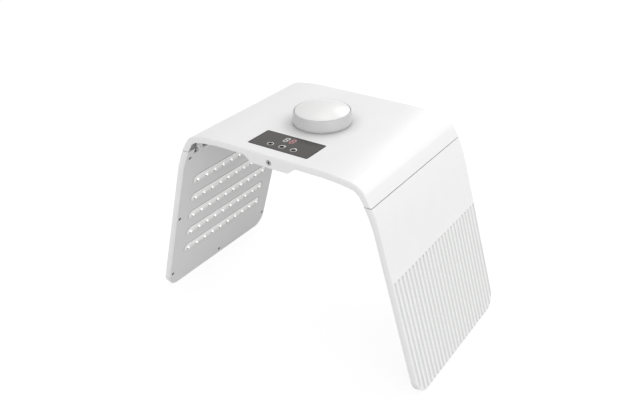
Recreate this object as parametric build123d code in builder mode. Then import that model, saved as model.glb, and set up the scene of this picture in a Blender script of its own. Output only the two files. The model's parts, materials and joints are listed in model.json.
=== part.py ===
from build123d import *
from math import acos, asin, atan2, cos, degrees, hypot, radians, sin
import os

os.makedirs("parts", exist_ok=True)

# A free-standing light arch: a head with a water tank and two folding wings full of lamps.
# X runs across the arch, Y from front to back, Z up. The origin is on the floor under its middle.

# Outline of the arch, seen from the front. Angles count from straight up.
depth = 260.0
top_half_width = 82.0
crown_radius = 300.0
crown_angle = 10.0
shoulder_radius = 31.0
shoulder_angle = 56.0
flank_radius = 190.0
splay_angle = 16.0
leg_angle = 90.0 - splay_angle
leg_length = 252.0
corner_radius = 24.0
foot_trim = 1.0
seam_drop = 34.0
seam_gap = 0.8

# Plastic covers
head_thickness = 10.0
wing_thickness = 11.0
head_skin = 2.4
shell_skin = 3.0
panel_skin = 2.4
side_wall = 2.4
head_split = 6.0
wing_split = 6.5
edge_round = 1.8
inner_round = 1.0
panel_bevel = 0.7
window_round = 0.8
seam_round = 0.4
fit_gap = 0.25
overrun = 5.0
tolerance = 0.01

# Housing that hangs below the head, as deep as the arch
hump_drop = 20.0
hump_top_half = 44.0
hump_bottom_half = 31.0
hump_round = 4.0
hump_blend = 9.0

# Grooves on the outside of each wing
groove_pitch = 10.0
groove_width = 5.4
groove_depth = 1.9
groove_start = 70.5

# Lamps: ten to a row, five rows on a wing and two rows on each side of the head
lamps_per_row = 10
wing_rows = 5
row_margin = 37.75
first_row = 30.2
row_pitch = 37.3
head_row_gap = 18.0
head_row_pitch = 34.0
lamp_radius = 2.5
lamp_flange_radius = 2.9
lamp_flange = 0.8
lamp_height = 3.8
slot_margin = 9.6
board_thickness = 1.6
board_margin = 14.0
lamp_inset = wing_thickness - panel_skin
head_lamp_inset = head_thickness - panel_skin
lamp_pitch = (depth - 2 * row_margin) / (lamps_per_row - 1)
head_row_places = (hump_top_half + head_row_gap, hump_top_half + head_row_gap + head_row_pitch)

# Cover screws
screw_radius = 1.5
screw_head_radius = 2.8
screw_length = 7.2
countersink_angle = 90.0
boss_radius = 3.0
pilot_gap = 0.05
edge_screw_margin = 6.5
middle_screw = 97.0
corner_screw_margin = 29.5
foot_screw_margin = 10.5
top_screw_margin = 10.5
top_screw_rise = 27.0
head_screw_margin = 10.0
inner_screw_gap = 4.5
outer_screw_gap = 30.0

# Hinges: one near the front and one near the back of each wing
pivot_inset = 4.9
left_pivot_fall = 2.0
right_pivot_fall = 12.0
left_notch_fall = 7.5
right_notch_fall = 11.0
left_anchor_run = 26.53
right_anchor_run = 34.82
hinge_inset = 18.0
bracket_width = 9.0
washer_thickness = 0.4
washer_play = 0.05
leaf_width = 16.5
barrel_radius = 3.6
barrel_gap = 0.6
arm_width = 4.4
leaf_thickness = 2.5
leaf_foot_length = 26.0
bracket_foot_half = 9.0
pin_radius = 1.75
pin_gap = 0.05
pin_head_radius = 2.8
pin_head = 1.5
pocket_margin = 3.0
pocket_reach = 12.0

# Touch panel and display
glass_width = 103.0
glass_length = 48.4
glass_thickness = 1.4
glass_proud = 0.2
glass_front = 18.8
glass_corner = 2.5
glass_round = 0.4
glass_ledge = 4.0
display_width = 24.0
display_length = 13.0
display_setback = 27.7

# Power inlet
jack_radius = 4.0
jack_length = 14.0
jack_bore_radius = 2.85
jack_bore_depth = 9.5
jack_pin_radius = 1.0
jack_pin_length = 8.0
jack_setback = 0.3

# Control board on the floor of the housing
main_board_width = 50.0
main_board_length = 62.0
main_board_front = 4.0
standoff_radius = 2.5
standoff_margin = 4.0
standoff_height = 0.7
capacitor_radius = 3.2
capacitor_height = 5.2
chip_size = 9.0
chip_height = 1.4
plug_width = 11.0
plug_length = 5.0
plug_height = 4.6

# Water tank, a little behind the middle of the head
tank_back = 3.0
cup_wall = 2.0
cup_floor = 2.4
cup_taper = 8.0
cup_knee_rise = 7.5
cup_rise = 14.0
cup_flange_width = 3.5
cup_flange_play = 2.3
cup_flange = 2.0
seal_thickness = 1.0
mist_hole_radius = 6.0
disc_lap = 1.8
disc_thickness = 0.8
gasket_width = 3.2
gasket_thickness = 1.5
nozzle_wall = 2.0
nozzle_flare = 0.5
nozzle_flange = 1.6
nozzle_proud = 3.0

# Domed cap over the tank
cap_base_radius = 45.0
cap_flare = 1.8
cap_wall_height = 20.2
cap_wall_thickness = 2.2
cap_lift_gap = 0.3
cap_groove = 0.5
dome_rise = 8.0
dome_thickness = 2.2
lip_depth = 3.0
lip_thickness = 1.6
skirt_gap = 0.4
skirt_thickness = 2.0
skirt_end = 8.0
cap_seal_thickness = 1.6
cap_rim_radius = cap_base_radius - cap_flare
cup_flange_radius = cap_base_radius - cap_wall_thickness - cup_flange_play
cup_radius = cup_flange_radius - cup_flange_width
cup_foot_radius = cup_radius - cup_taper
cup_drop = hump_drop - head_skin - nozzle_flange - gasket_thickness
cup_knee = cup_drop - cup_knee_rise
disc_radius = mist_hole_radius + disc_lap
gasket_radius = disc_radius + gasket_width
nozzle_radius = mist_hole_radius + nozzle_wall
nozzle_drop = hump_drop + nozzle_proud

half_depth = depth / 2
board_top = hump_drop - head_skin - standoff_height - board_thickness
jack_drop = board_top - jack_radius
reach = leg_length + flank_radius
wing_drop = seam_drop + seam_gap
sides = {"left": -1, "right": 1}
pivot_drops = {"left": seam_drop + left_pivot_fall, "right": seam_drop + right_pivot_fall}
notch_falls = {"left": left_notch_fall, "right": right_notch_fall}
anchor_runs = {"left": left_anchor_run, "right": right_anchor_run}


def arc_point(center, radius, angle):
    """Point on a circle in the section, at an angle from straight up."""
    return (center[0] + radius * sin(radians(angle)), center[1] + radius * cos(radians(angle)))


crown_center = (top_half_width, -crown_radius)
shoulder_center = arc_point(crown_center, crown_radius - shoulder_radius, crown_angle)
flank_center = arc_point(shoulder_center, shoulder_radius - flank_radius, shoulder_angle)
bends = (
    (crown_center, crown_radius, 0, crown_angle),
    (shoulder_center, shoulder_radius, crown_angle, shoulder_angle),
    (flank_center, flank_radius, shoulder_angle, leg_angle),
)
pivot_place = arc_point(shoulder_center, shoulder_radius, shoulder_angle)[0] - pivot_inset
pivots = {name: (pivot_place, drop) for name, drop in pivot_drops.items()}


def section(inset):
    """Knots of the right half of the arch at an inset from the outside, from the middle to the foot."""
    knots = [(0, -inset)]
    for center, radius, start, stop in bends:
        for angle in (start, (start + stop) / 2, stop):
            knots.append(arc_point(center, radius - inset, angle))
    run = (leg_length * cos(radians(leg_angle)), leg_length * sin(radians(leg_angle)))
    knots.append((knots[-1][0] + run[0], knots[-1][1] - run[1]))
    return knots


arch_height = -section(wing_thickness)[-1][1] - foot_trim
arch_plane = Plane(origin=(0, 0, arch_height), x_dir=(1, 0, 0), z_dir=(0, -1, 0))


def skin_plane(side, inset, angle, along=0):
    """Plane on the arch at an inset: local x runs front to back, y down the arch and z inwards."""
    center, radius = next((bend[0], bend[1]) for bend in bends if angle <= bend[3])
    x, z = arc_point(center, radius - inset, angle)
    x = x + along * cos(radians(angle))
    z = z - along * sin(radians(angle))
    inward = (-side * sin(radians(angle)), 0, -cos(radians(angle)))
    return Plane(origin=(side * x, 0, arch_height + z), x_dir=(0, side, 0), z_dir=inward)


def draw_curve(inset):
    """Draws the half section's curve at an inset."""
    knots = section(inset)
    Line(knots[0], knots[1])
    for first in (1, 4, 7):
        ThreePointArc(*knots[first:first + 3])
    Line(knots[-2], knots[-1])


def band(near, far, side, top, bottom):
    """Strip between two insets, on one side or on both, between two drops below the top."""
    with BuildSketch(arch_plane) as strip:
        with BuildLine():
            draw_curve(near)
            draw_curve(far)
            Line(section(near)[0], section(far)[0])
            Line(section(near)[-1], section(far)[-1])
        make_face()
        if side == 0:
            mirror(about=Plane.YZ)
        if side < 0:
            mirror(about=Plane.YZ, mode=Mode.REPLACE)
        with Locations((0, -(top + bottom) / 2)):
            Rectangle(2 * reach, bottom - top, mode=Mode.INTERSECT)
    return strip.sketch


def head_band(near, far, end_wall):
    """Strip of the head, ending an end wall's thickness above the seam."""
    return band(near, far, 0, -overrun, seam_drop - end_wall)


def wing_band(near, far, side, end_wall):
    """Strip of a wing, starting an end wall's thickness below its top."""
    return band(near, far, side, wing_drop + end_wall, reach)


def planform(side, margin):
    """Outline of a wing seen square on, drawn in from its edge by a margin."""
    with BuildSketch(skin_plane(side, 0, leg_angle)) as outline:
        with Locations((0, (leg_length - margin - reach) / 2)):
            Rectangle(depth - 2 * margin, leg_length - margin + reach)
        fillet(outline.vertices().group_by(Axis.Y)[-1], corner_radius - margin)
    return outline.sketch


def wing_core(side, near, far):
    """Hollow between two insets of a wing, inside its side walls."""
    with BuildPart() as core:
        extrude(wing_band(near, far, side, side_wall), amount=half_depth, both=True)
        extrude(planform(side, side_wall), amount=reach, both=True, mode=Mode.INTERSECT)
    return core.part


def head_core(near, far):
    """Hollow between two insets of the head, inside its side walls."""
    with BuildPart() as core:
        extrude(head_band(near, far, side_wall), amount=half_depth - side_wall, both=True)
    return core.part


def hump_face(inset, top):
    """Section of the housing under the head, drawn in from its outside by an inset."""
    run = hump_top_half - hump_bottom_half
    fall = hump_drop - head_thickness
    shift = inset * hypot(run, fall) / fall
    knee = hump_top_half - shift
    bottom = hump_bottom_half + run * inset / fall - shift
    with BuildSketch(arch_plane) as outline:
        with BuildLine():
            Polyline(
                (0, -top),
                (knee, -top),
                (knee, -head_thickness),
                (bottom, inset - hump_drop),
                (0, inset - hump_drop),
                close=True,
            )
        make_face()
        mirror(about=Plane.YZ)
        fillet(outline.vertices().group_by(Axis.Y)[0], hump_round - inset)
    return outline.sketch


def finish(piece, name):
    """Labels a finished piece and writes it out."""
    piece.part.label = name
    export_step(piece.part, "parts/" + name + ".step")


def inset_of(point):
    """How far a point lies inside the arch's outside."""
    x = abs(point.X)
    z = point.Z - arch_height
    if x < top_half_width:
        return -z
    for center, radius, start, stop in bends:
        angle = degrees(atan2(x - center[0], z - center[1]))
        if start <= angle <= stop:
            return radius - hypot(x - center[0], z - center[1])
    knee = section(0)[-2]
    return (knee[0] - x) * sin(radians(leg_angle)) + (knee[1] - z) * cos(radians(leg_angle))


def rim_edges(piece, inset):
    """Edges round a cover at an inset, without its seam and the lines where its bends meet."""
    rim = []
    for edge in piece.edges():
        on_skin = abs(inset_of(edge.position_at(0.5)) - inset) < tolerance
        crosses = abs(edge.tangent_at(0.5).Y) > 1 - tolerance and edge.center().Z > 2 * wing_thickness
        if on_skin and not crosses:
            rim.append(edge)
    return rim


def edges_across(piece, drop):
    """Edges of a piece that run from front to back at a drop below the top."""
    level = arch_height - drop
    return piece.edges().filter_by(Axis.Y).filter_by_position(Axis.Z, level - tolerance, level + tolerance)


def seam_edges(piece, drop):
    """Outer edges of a cover where it meets the other body."""
    return [edge for edge in edges_across(piece, drop) if abs(inset_of(edge.position_at(0.5))) < tolerance]


def underside_edges(piece):
    """Edges round the underside of the head and its housing, on the front and back faces."""
    rim = []
    for edge in piece.edges():
        point = edge.position_at(0.5)
        if abs(abs(point.Y) - half_depth) < tolerance and inset_of(point) > head_thickness - tolerance:
            rim.append(edge)
    return rim


def window_edges(edges, inset):
    """Edges of fresh windows on a cover's inner face."""
    return [edge for edge in edges if abs(inset_of(edge.position_at(0.5)) - inset) < tolerance]


# Places of the lamps and of the screws

lamp_steps = [(step - (lamps_per_row - 1) / 2) * lamp_pitch for step in range(lamps_per_row)]
row_length = (lamps_per_row - 1) * lamp_pitch
slot_length = row_length + 2 * slot_margin
wing_row_places = [first_row + row * row_pitch for row in range(wing_rows)]
top_screw_angle = leg_angle - degrees(top_screw_rise / flank_radius)
head_screw_angle = degrees(asin(outer_screw_gap / (crown_radius - head_thickness)))


def wing_lamp_spots(side):
    """Places of a wing's lamps on their board."""
    board = skin_plane(side, lamp_inset, leg_angle).location
    return [board * Location((step, row)) for row in wing_row_places for step in lamp_steps]


def wing_screw_spots(side):
    """Places of the screws on the inside of a wing."""
    face = skin_plane(side, wing_thickness, leg_angle).location
    top_face = skin_plane(side, wing_thickness, top_screw_angle).location
    edge = half_depth - edge_screw_margin
    top_edge = half_depth - top_screw_margin
    spots = [top_face * Location((end * top_edge, 0)) for end in (-1, 1)]
    rows = (middle_screw, leg_length - corner_screw_margin)
    spots += [face * Location((end * edge, row)) for end in (-1, 1) for row in rows]
    spots.append(face * Location((0, leg_length - foot_screw_margin)))
    return spots


def head_screw_spots():
    """Places of the screws on the underside of the head."""
    edge = half_depth - head_screw_margin
    inner_run = hump_top_half + inner_screw_gap - top_half_width
    spots = []
    for side in (-1, 1):
        flat_face = skin_plane(side, head_thickness, 0, inner_run).location
        outer_face = skin_plane(side, head_thickness, head_screw_angle).location
        spots += [face * Location((end * edge, 0)) for face in (flat_face, outer_face) for end in (-1, 1)]
    return spots


# One lamp and one screw, copied to every place of their kind

with BuildPart() as lamp:
    with BuildSketch(Plane.XZ):
        with BuildLine():
            lamp_shoulder = lamp_height - lamp_radius
            Line((0, 0), (lamp_flange_radius, 0))
            Line((lamp_flange_radius, 0), (lamp_flange_radius, lamp_flange))
            Line((lamp_flange_radius, lamp_flange), (lamp_radius, lamp_flange))
            Line((lamp_radius, lamp_flange), (lamp_radius, lamp_shoulder))
            CenterArc((0, lamp_shoulder), lamp_radius, 0, 90)
            Line((0, lamp_height), (0, 0))
        make_face()
    revolve(axis=Axis.Z)

with BuildPart() as cover_screw:
    with BuildSketch(Plane.XZ):
        with BuildLine():
            Polyline(
                (0, 0),
                (screw_head_radius, 0),
                (screw_radius, screw_radius - screw_head_radius),
                (screw_radius, -screw_length),
                (0, -screw_length),
                close=True,
            )
        make_face()
    revolve(axis=Axis.Z)


def copies(piece, spots):
    """Separate copies of a piece at a list of places."""
    with BuildPart() as group:
        with Locations(spots):
            add(piece.part)
    return group


def add_bosses(spots, skin, height):
    """Adds screw bosses below a cover's skin, with their pilot holes, to the open part."""
    drill = screw_length - skin
    with Locations(spots):
        with Locations((0, 0, -skin)):
            Cylinder(boss_radius, height, align=(Align.CENTER, Align.CENTER, Align.MAX))
            Cylinder(
                screw_radius + pilot_gap,
                drill,
                align=(Align.CENTER, Align.CENTER, Align.MAX),
                mode=Mode.SUBTRACT,
            )


# Head: outer cover with the glass's recess and the tank's hole

glass_center = -half_depth + glass_front + glass_length / 2
glass_recess = glass_thickness - glass_proud
top_face_plane = Plane.XY.offset(arch_height)

with BuildPart() as head_top_cover:
    extrude(head_band(0, head_split, 0), amount=half_depth, both=True)
    fillet(rim_edges(head_top_cover, 0), edge_round)
    fillet(seam_edges(head_top_cover, seam_drop), seam_round)
    add(head_core(head_skin, head_split + overrun), mode=Mode.SUBTRACT)
    add_bosses(head_screw_spots(), panel_skin, head_lamp_inset - head_skin)
    with BuildSketch(top_face_plane):
        with Locations((0, glass_center)):
            RectangleRounded(glass_width + 2 * fit_gap, glass_length + 2 * fit_gap, glass_corner + fit_gap)
    extrude(amount=-glass_recess, mode=Mode.SUBTRACT)
    with BuildSketch(top_face_plane):
        with Locations((0, glass_center)):
            Rectangle(glass_width - 2 * glass_ledge, glass_length - 2 * glass_ledge)
        with Locations((0, tank_back)):
            Circle(cup_radius + fit_gap)
    extrude(amount=-hump_drop, mode=Mode.SUBTRACT)
finish(head_top_cover, "head_top_cover")

# Head: lower cover with the housing, the lamp windows and the pockets of the hinges

hinge_end = hinge_inset + bracket_width + washer_thickness + 2 * washer_play + leaf_width
leaf_start = hinge_end - leaf_width
pocket_length = hinge_end + pocket_margin


def slice_plane(start):
    """Plane across the arch at a distance behind its front face; its normal points forwards."""
    return Plane(origin=(0, start - half_depth, arch_height), x_dir=(1, 0, 0), z_dir=(0, -1, 0))


with BuildPart() as head_lower_cover:
    extrude(head_band(head_split, head_thickness, 0), amount=half_depth, both=True)
    extrude(hump_face(0, head_split), amount=half_depth, both=True)
    across = edges_across(head_lower_cover, head_thickness)
    fillet([edge for edge in across if abs(edge.center().X) < top_half_width], hump_blend)
    fillet(underside_edges(head_lower_cover), inner_round)
    add(head_core(head_split - overrun, head_lamp_inset), mode=Mode.SUBTRACT)
    extrude(
        hump_face(head_skin, head_split - overrun),
        amount=half_depth - side_wall,
        both=True,
        mode=Mode.SUBTRACT,
    )
    with BuildSketch(top_face_plane):
        with Locations([(side * place, 0) for side in (-1, 1) for place in head_row_places]):
            SlotOverall(slot_length, 2 * slot_margin, rotation=90)
    extrude(amount=-hump_drop, mode=Mode.SUBTRACT)
    with Locations(head_screw_spots()):
        CounterSinkHole(
            screw_radius + pilot_gap, screw_head_radius + pilot_gap, hump_drop, countersink_angle
        )
    pocket_places = [side * (pivot_place - pocket_reach + reach / 2) for side in (-1, 1)]
    for start in (pocket_margin, depth - pocket_length):
        with BuildSketch(slice_plane(start)):
            with Locations([(place, -head_split - reach / 2) for place in pocket_places]):
                Rectangle(reach, reach)
        extrude(amount=pocket_margin - pocket_length, mode=Mode.SUBTRACT)
    with BuildSketch(slice_plane(0)):
        with Locations((0, -jack_drop)):
            Circle(jack_radius + fit_gap)
    extrude(amount=-side_wall - overrun, mode=Mode.SUBTRACT)
    with BuildSketch(top_face_plane):
        with Locations((0, tank_back)):
            Circle(nozzle_radius + fit_gap)
    extrude(amount=-hump_drop - overrun, mode=Mode.SUBTRACT)
finish(head_lower_cover, "head_lower_cover")

finish(copies(cover_screw, head_screw_spots()), "head_screws")

# Head: lamps on their boards, one board on each side of the housing

for name, side in sides.items():
    board_width = head_row_places[1] - head_row_places[0] + 2 * slot_margin + side_wall
    with BuildPart() as head_board:
        with BuildSketch(top_face_plane.offset(-head_lamp_inset)):
            with Locations((side * (head_row_places[0] + head_row_places[1]) / 2, 0)):
                Rectangle(board_width, row_length + 2 * board_margin)
        extrude(amount=board_thickness)
    finish(head_board, name + "_head_board")
    down = Plane(origin=(0, 0, arch_height - head_lamp_inset), x_dir=(1, 0, 0), z_dir=(0, 0, -1)).location
    spots = [down * Location((side * place, step)) for place in head_row_places for step in lamp_steps]
    finish(copies(lamp, spots), name + "_head_lamps")

# Touch panel

with BuildPart() as touch_glass:
    with BuildSketch(top_face_plane.offset(-glass_recess)):
        with Locations((0, glass_center)):
            RectangleRounded(glass_width, glass_length, glass_corner)
    extrude(amount=glass_thickness)
    fillet(touch_glass.edges().group_by(Axis.Z)[-1], glass_round)
finish(touch_glass, "touch_glass")

with BuildPart() as touch_board:
    with BuildSketch(top_face_plane.offset(-head_skin)):
        with Locations((0, glass_center)):
            Rectangle(glass_width - glass_ledge, glass_length - glass_ledge)
    extrude(amount=-board_thickness)
finish(touch_board, "touch_board")

with BuildPart() as display_module:
    with BuildSketch(top_face_plane.offset(-head_skin)):
        with Locations((0, glass_front + display_setback + display_length / 2 - half_depth)):
            Rectangle(display_width, display_length)
    extrude(amount=head_skin - glass_recess)
finish(display_module, "display_module")

# Power inlet and control board

jack_plane = Plane(
    origin=(0, jack_setback - half_depth, arch_height - jack_drop), x_dir=(1, 0, 0), z_dir=(0, -1, 0)
)

with BuildPart() as dc_jack:
    with BuildSketch(jack_plane):
        Circle(jack_radius)
    extrude(amount=-jack_length)
    with BuildSketch(jack_plane):
        Circle(jack_bore_radius)
    extrude(amount=-jack_bore_depth, mode=Mode.SUBTRACT)
finish(dc_jack, "dc_jack")

with BuildPart() as jack_pin:
    with BuildSketch(jack_plane.offset(-jack_bore_depth)):
        Circle(jack_pin_radius)
    extrude(amount=jack_pin_length)
    fillet(jack_pin.edges().sort_by(Axis.Y)[0], jack_pin_radius / 2)
finish(jack_pin, "jack_pin")

board_plane = top_face_plane.offset(-board_top)
board_middle = main_board_front + main_board_length / 2 - half_depth

with BuildPart() as main_board:
    with BuildSketch(board_plane):
        with Locations((0, board_middle)):
            Rectangle(main_board_width, main_board_length)
    extrude(amount=-board_thickness)
    with BuildSketch(board_plane.offset(-board_thickness)):
        with Locations((0, board_middle)):
            with GridLocations(
                main_board_width - 2 * standoff_margin, main_board_length - 2 * standoff_margin, 2, 2
            ):
                Circle(standoff_radius)
    extrude(amount=-standoff_height)
finish(main_board, "main_board")

with BuildPart() as board_parts:
    with BuildSketch(board_plane):
        with Locations((0, board_middle)):
            with GridLocations(main_board_width / 2, chip_size, 2, 1):
                Circle(capacitor_radius)
    extrude(amount=capacitor_height)
    with BuildSketch(board_plane):
        with Locations((0, board_middle)):
            Rectangle(chip_size, chip_size)
    extrude(amount=chip_height)
    with BuildSketch(board_plane):
        with Locations((0, board_middle + main_board_length / 2 - plug_length)):
            with GridLocations(main_board_width / 2, plug_length, 2, 1):
                Rectangle(plug_width, plug_length)
    extrude(amount=plug_height)
finish(board_parts, "board_parts")

# Water tank and mist outlet, turned about the tank's axis

tank_plane = Plane(origin=(0, tank_back, arch_height), x_dir=(1, 0, 0), z_dir=(0, -1, 0))
tank_axis = Axis((0, tank_back, 0), (0, 0, 1))


def turned(points):
    """A ring or cup turned about the tank's axis from the points of its section."""
    with BuildPart() as ring:
        with BuildSketch(tank_plane):
            with BuildLine():
                Polyline(*points, close=True)
            make_face()
        revolve(axis=tank_axis)
    return ring


def turned_ring(inner, outer, bottom, top):
    """A plain ring about the tank's axis, between two radii and two heights over the head."""
    return turned(((inner, bottom), (outer, bottom), (outer, top), (inner, top)))


flange_top = seal_thickness + cup_flange
cup_inner = cup_radius - cup_wall

water_tank = turned(
    (
        (mist_hole_radius, -cup_drop),
        (cup_foot_radius, -cup_drop),
        (cup_radius, -cup_knee),
        (cup_radius, seal_thickness),
        (cup_flange_radius, seal_thickness),
        (cup_flange_radius, flange_top),
        (cup_radius, flange_top),
        (cup_radius, cup_rise),
        (cup_inner, cup_rise),
        (cup_inner, cup_wall / 2 - cup_knee),
        (cup_foot_radius - cup_wall / 2, cup_floor - cup_drop),
        (mist_hole_radius, cup_floor - cup_drop),
    )
)
finish(water_tank, "water_tank")
finish(turned_ring(cup_radius + fit_gap, cup_flange_radius, 0, seal_thickness), "tank_seal")

gasket_bottom = -cup_drop - gasket_thickness
finish(turned_ring(0, disc_radius, -cup_drop - disc_thickness, -cup_drop), "mist_disc")
finish(turned_ring(disc_radius + pilot_gap, gasket_radius, gasket_bottom, -cup_drop), "disc_gasket")

mist_nozzle = turned(
    (
        (mist_hole_radius, gasket_bottom),
        (gasket_radius, gasket_bottom),
        (gasket_radius, head_skin - hump_drop),
        (nozzle_radius, head_skin - hump_drop),
        (nozzle_radius, -nozzle_drop),
        (mist_hole_radius + nozzle_flare, -nozzle_drop),
    )
)
finish(mist_nozzle, "mist_nozzle")

# Cap: a flared wall, a domed top with its skirt, and the seal on the skirt

wall_top = cap_lift_gap + cap_wall_height
dome_start = wall_top + cap_groove
dome_rim = cap_rim_radius - fit_gap
dome_radius = (dome_rim**2 + dome_rise**2) / (2 * dome_rise)
dome_center = dome_start + dome_rise - dome_radius
dome_inner = dome_radius - dome_thickness
skirt_radius = cup_inner - skirt_gap
lip_radius = cap_rim_radius - cap_wall_thickness - pilot_gap

finish(
    turned(
        (
            (cap_base_radius - cap_wall_thickness, cap_lift_gap),
            (cap_base_radius, cap_lift_gap),
            (cap_rim_radius, wall_top),
            (cap_rim_radius - cap_wall_thickness, wall_top),
        )
    ),
    "cap_wall",
)

with BuildPart() as cap_dome:
    with BuildSketch(tank_plane):
        with BuildLine():
            rim_angle = degrees(asin(dome_rim / dome_radius))
            inner_angle = degrees(acos((dome_start - dome_center) / dome_inner))
            outer_points = [
                arc_point((0, dome_center), dome_radius, angle) for angle in (0, rim_angle / 2, rim_angle)
            ]
            inner_points = [
                arc_point((0, dome_center), dome_inner, angle) for angle in (0, inner_angle / 2, inner_angle)
            ]
            ThreePointArc(*outer_points)
            ThreePointArc(*inner_points)
            Line(outer_points[0], inner_points[0])
            Line(outer_points[2], inner_points[2])
        make_face()
        with Locations((lip_radius - lip_thickness / 2, dome_start - lip_depth / 2)):
            Rectangle(lip_thickness, lip_depth)
        skirt_top = dome_start + dome_thickness / 2
        with Locations((skirt_radius - skirt_thickness / 2, (skirt_top + skirt_end) / 2)):
            Rectangle(skirt_thickness, skirt_top - skirt_end)
    revolve(axis=tank_axis)
finish(cap_dome, "cap_dome")

seal_bottom = cup_rise + washer_play
finish(turned_ring(skirt_radius, cup_radius, seal_bottom, seal_bottom + cap_seal_thickness), "cap_seal")

# Wings with their hinges


def strut(start, end, width):
    """Straight bar between two points, in the open sketch."""
    middle = ((start[0] + end[0]) / 2, (start[1] + end[1]) / 2)
    with Locations(middle):
        Rectangle(
            hypot(end[0] - start[0], end[1] - start[1]),
            width,
            rotation=degrees(atan2(end[1] - start[1], end[0] - start[0])),
        )


def hinge_brackets(side, pivot):
    """Brackets under the head's shoulder that hold a wing's hinge pins."""
    center = (side * pivot[0], -pivot[1])
    with BuildPart() as piece:
        extrude(head_band(head_skin, head_skin + leaf_thickness, side_wall), amount=half_depth, both=True)
        with BuildSketch(slice_plane(hinge_inset)):
            with Locations((center[0], 0)):
                Rectangle(2 * bracket_foot_half, 2 * reach)
        extrude(amount=-bracket_width, mode=Mode.INTERSECT)
        with BuildSketch(slice_plane(hinge_inset)):
            with Locations(center):
                Circle(barrel_radius)
            strut(center, (center[0], 0), arm_width)
        extrude(amount=-bracket_width)
        extrude(head_band(-seam_drop, head_skin, -overrun), amount=half_depth, both=True, mode=Mode.SUBTRACT)
        with BuildSketch(slice_plane(hinge_inset)):
            with Locations(center):
                Circle(pin_radius + pin_gap)
        extrude(amount=-bracket_width, mode=Mode.SUBTRACT)
        mirror(about=Plane.XZ)
    return piece


def hinge_leaves(side, pivot, anchor_run):
    """Leaves inside a wing's outer cover, with the barrels that turn on the pins."""
    center = (side * pivot[0], -pivot[1])
    anchor_angle = shoulder_angle + degrees(anchor_run / flank_radius)
    anchor = arc_point(flank_center, flank_radius - shell_skin - leaf_thickness / 2, anchor_angle)
    foot_top = wing_drop + side_wall
    with BuildPart() as piece:
        extrude(
            band(shell_skin, shell_skin + leaf_thickness, side, foot_top, foot_top + leaf_foot_length),
            amount=half_depth,
            both=True,
        )
        with BuildSketch(slice_plane(leaf_start)):
            Rectangle(2 * reach, 2 * reach)
        extrude(amount=-leaf_width, mode=Mode.INTERSECT)
        with BuildSketch(slice_plane(leaf_start)):
            with Locations(center):
                Circle(barrel_radius)
            strut(center, (side * anchor[0], anchor[1]), arm_width)
        extrude(amount=-leaf_width)
        extrude(wing_band(-overrun, shell_skin, side, 0), amount=half_depth, both=True, mode=Mode.SUBTRACT)
        with BuildSketch(slice_plane(leaf_start)):
            with Locations(center):
                Circle(pin_radius + pin_gap)
        extrude(amount=-leaf_width, mode=Mode.SUBTRACT)
        mirror(about=Plane.XZ)
    return piece


def hinge_pins(side, pivot):
    """Headed pins through the brackets and the leaves."""
    with BuildPart() as piece:
        with BuildSketch(slice_plane(hinge_inset - pin_head)):
            with Locations((side * pivot[0], -pivot[1])):
                Circle(pin_head_radius)
        extrude(amount=-pin_head)
        with BuildSketch(slice_plane(hinge_inset)):
            with Locations((side * pivot[0], -pivot[1])):
                Circle(pin_radius)
        extrude(amount=hinge_inset - hinge_end - pin_head)
        mirror(about=Plane.XZ)
    return piece


def hinge_washers(side, pivot):
    """Spring washers between the brackets and the leaves."""
    with BuildPart() as piece:
        with BuildSketch(slice_plane(leaf_start - washer_thickness - washer_play)):
            with Locations((side * pivot[0], -pivot[1])):
                Circle(pin_head_radius)
                Circle(pin_radius + pin_gap, mode=Mode.SUBTRACT)
        extrude(amount=-washer_thickness)
        mirror(about=Plane.XZ)
    return piece


def wing_shell(side):
    """Outer cover of a wing with its ribbing."""
    with BuildPart() as piece:
        extrude(wing_band(0, wing_split, side, 0), amount=half_depth, both=True)
        extrude(planform(side, 0), amount=reach, both=True, mode=Mode.INTERSECT)
        fillet(rim_edges(piece, 0), edge_round)
        fillet(seam_edges(piece, wing_drop), seam_round)
        add(wing_core(side, shell_skin, wing_split + overrun), mode=Mode.SUBTRACT)
        add_bosses(wing_screw_spots(side), panel_skin, lamp_inset - shell_skin)
        groove_radius = (groove_width**2 / 4 + groove_depth**2) / (2 * groove_depth)
        groove_face = skin_plane(side, groove_depth - groove_radius, leg_angle, groove_start)
        groove_count = int(depth / groove_pitch)
        start = Plane(origin=groove_face.origin, x_dir=(0, 1, 0), z_dir=groove_face.y_dir)
        with BuildSketch(start):
            with GridLocations(groove_pitch, groove_pitch, groove_count, 1):
                Circle(groove_radius)
        extrude(amount=leg_length, mode=Mode.SUBTRACT)
        split(bisect_by=Plane.XY, keep=Keep.TOP)
    return piece


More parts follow.
